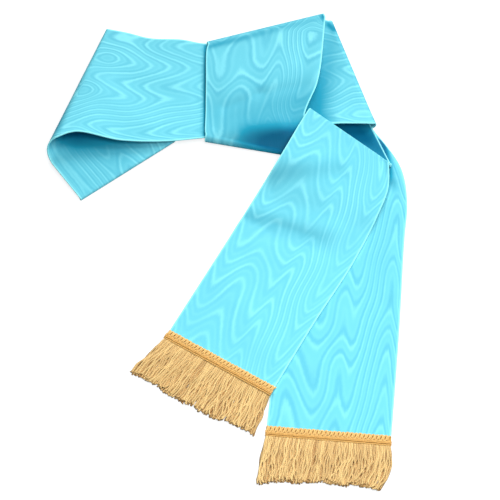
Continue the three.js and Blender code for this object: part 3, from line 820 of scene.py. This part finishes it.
def cord_paths(end, tips, belly, bow, rng, layer):
    """The paths of one layer of cords, (count, n, 3). A cord goes from its root to its tip and sways to the
    side by its own sine and one shared with its neighbours; its last stretch turns round a small circle.
    Its height falls from the tape to the layer's own."""
    count, height, own_sway, shared_sway, _, _, shortest = layer
    t = np.linspace(0, 1, points_on_a_cord)[None, :]
    share = (np.arange(count) + 0.5) / count + rng.normal(0, 0.10 / count, count)
    share = np.clip(share, 0.006, 0.994)[:, None]
    root = in_frame(end, share[:, 0] * end["width"], np.full(count, 0.0012), 0 * share[:, 0])[:, None]
    first, last = (np.array([*tip, 0]) - layout_centre for tip in tips)
    tip = (first + (last - first) * (share + rng.normal(0, 0.25 / count, (count, 1))))[:, None]
    run = (tip - root) * (1, 1, 0)
    length = np.linalg.norm(run, axis=2)
    ahead = run / length[..., None]
    side = np.stack([-ahead[..., 1], ahead[..., 0], 0 * length], -1)
    length = length * (1 - rng.uniform(0, shortest, (count, 1))) + belly * np.sin(math.pi * share)
    length = length + lock_step * (np.sin(20 * share + 1) + 0.6 * np.sin(46 * share))
    own = own_sway * rng.uniform(0.3, 1.3, (count, 1)) * np.sin(
        2 * math.pi * (t * rng.uniform(1.2, 3.2, (count, 1)) + rng.random((count, 1)))
    )
    place = share * end["width"]
    shared = np.sin(2 * math.pi * (1.1 * t + place / 0.021 + height * 300))
    shared = shared + 0.7 * np.sin(2 * math.pi * (0.6 * t - place / 0.009 + height * 700))
    outward = (bow[1] * share**4 - bow[0] * (1 - share) ** 4) * np.sin(math.pi * t)
    sway = (own + shared_sway * shared) * np.minimum(1, 2.2 * t) + outward
    turned = np.clip((t - hook_start) / (1 - hook_start), 0, 1)
    hook = turned * rng.uniform(0.3, 1.8, (count, 1))
    hook_radius = rng.uniform(0.0008, 0.0013, (count, 1))
    sway = sway + rng.choice([-1.0, 1.0], (count, 1)) * hook_radius * (1 - np.cos(hook))
    forward = np.minimum(t, hook_start) / hook_start * (length - hook_radius) + hook_radius * np.sin(hook)
    path = root * (1, 1, 0) + ahead * forward[..., None] + side * sway[..., None]
    rest = height + 0.0003 * np.sin(9 * t + 40 * share)
    start_height = root[..., 2] - 0.0002 + height * 0.4
    fall = np.clip(t / 0.25, 0, 1) ** 0.7
    path[..., 2] = start_height * (1 - fall) + rest * fall
    return path


def lift_over_tail(path):
    """Raises the points over the right tail by the ribbon's wall, evenly within the climb at its edge."""
    plan = path[..., :2] + layout_centre[:2]
    (low_x, low_y), (high_x, high_y) = crossed_edge
    edge = np.interp(plan[..., 1], [low_y, high_y], [low_x, high_x])
    over = np.clip((plan[..., 0] - edge) / climb_length + 0.5, 0, 1) * (plan[..., 1] > low_y)
    path[..., 2] += over * ribbon_wall


def fringe_mesh(name, end, lay_of, over_tail):
    """All the cords of one fringe and the tape that they hang from."""
    rng = np.random.default_rng(lay_of["seed"])
    groups = []
    for layer in fringe_layers:
        count, tone, spread = layer[0], layer[4], layer[5]
        path = cord_paths(end, lay_of["tips"], lay_of["belly"], lay_of["bow"], rng, layer)
        if over_tail:
            lift_over_tail(path)
        path[..., 2] = np.maximum(path[..., 2], cord_radius)
        radius = cord_radius * rng.uniform(0.88, 1.12, (count, 1)) * np.ones(points_on_a_cord)
        radius[:, -1] *= tip_share
        tones = np.clip(rng.normal(tone, spread, count), 0, 1)
        groups.append((tube_rings(path, radius, cord_sides), path_lengths(path), tones))
    tape = box_rings(end, (0, 0.0003, -0.0005), (end["width"], tape_depth, 0.0006))
    groups.append((tape, np.zeros((1, 2)), np.array([tape_tone])))
    return tube_mesh(name, groups)


fringe_gold = gold_cord("gold fringe cord", (0.78, 0.53, 0.205), (0.39, 0.18, 0.04), 0.0034, 2)
for side, lay_of in fringe_lay.items():
    name = f"fringe_cord_{side}"
    mesh = fringe_mesh(name, ends[side], lay_of, side == "left")
    add_piece(name, mesh, f"fringe_{side}", fringe_gold)

# The studio
# A plain floor that the camera sees as white. One large soft lamp stands low behind, one high on the
# right, a small one hangs over the tails, and the air is slightly blue.

floor_half = 6
corners = [(-1, -1), (1, -1), (1, 1), (-1, 1)]
floor_mesh = bpy.data.meshes.new("floor")
floor_mesh.from_pydata([(x * floor_half, y * floor_half, 0) for x, y in corners], [], [(0, 1, 2, 3)])
floor = bpy.data.objects.new("floor", floor_mesh)
bpy.context.scene.collection.objects.link(floor)
floor_material, floor_nodes, floor_links, floor_shader = new_material("pale floor")
floor_shader.inputs["Base Color"].default_value = (0.35, 0.35, 0.35, 1)
seen = floor_nodes.new("ShaderNodeLightPath")
floor_links.new(seen.outputs["Is Camera Ray"], floor_shader.inputs["Emission Color"])
floor_shader.inputs["Emission Strength"].default_value = 0.8
floor_shader.inputs["Roughness"].default_value = 0.9
floor_shader.inputs["Specular IOR Level"].default_value = 0.1
floor_mesh.materials.append(floor_material)


def area_lamp(name, place, aim, size, power):
    """A square soft lamp at a place, turned to face its aim."""
    lamp = bpy.data.lights.new(name, "AREA")
    lamp.size = size
    lamp.energy = power
    holder = bpy.data.objects.new(name, lamp)
    holder.location = place
    holder.visible_camera = False
    direction = np.array(aim, float) - np.array(place, float)
    yaw = math.atan2(direction[1], direction[0])
    pitch = math.atan2(math.hypot(direction[0], direction[1]), -direction[2])
    holder.rotation_euler = (pitch, 0, yaw - math.pi / 2)
    bpy.context.scene.collection.objects.link(holder)


area_lamp("key lamp", (0.9, 4.1, 2.73), (0, 0, 0), 1.8, 145)
area_lamp("high lamp", (2.4, 1.4, 2.8), (0, 0, 0), 1.5, 74)
area_lamp("fill lamp", (0.10, -0.18, 0.6), (0.08, -0.12, 0), 0.4, 3.2)

world = bpy.data.worlds.new("studio air")
world.use_nodes = True
air = world.node_tree.nodes["Background"]
air.inputs["Color"].default_value = (0.35, 0.75, 1.0, 1)
air.inputs["Strength"].default_value = 0.13
bpy.context.scene.world = world
bpy.context.scene.view_settings.view_transform = "Standard"

# The camera
# It looks down on the sash from 61 degrees above the surface, as the photograph does.

camera_elevation = math.radians(61)
camera_distance = 1.393
camera_data = bpy.data.cameras.new("camera")
camera_data.lens = 118.2
camera_data.sensor_width = 36
camera = bpy.data.objects.new("camera", camera_data)
aim = -layout_centre
camera.location = (
    aim[0],
    aim[1] - camera_distance * math.cos(camera_elevation),
    camera_distance * math.sin(camera_elevation),
)
camera.rotation_euler = (math.pi / 2 - camera_elevation, 0, 0)
bpy.context.scene.collection.objects.link(camera)
bpy.context.scene.camera = camera
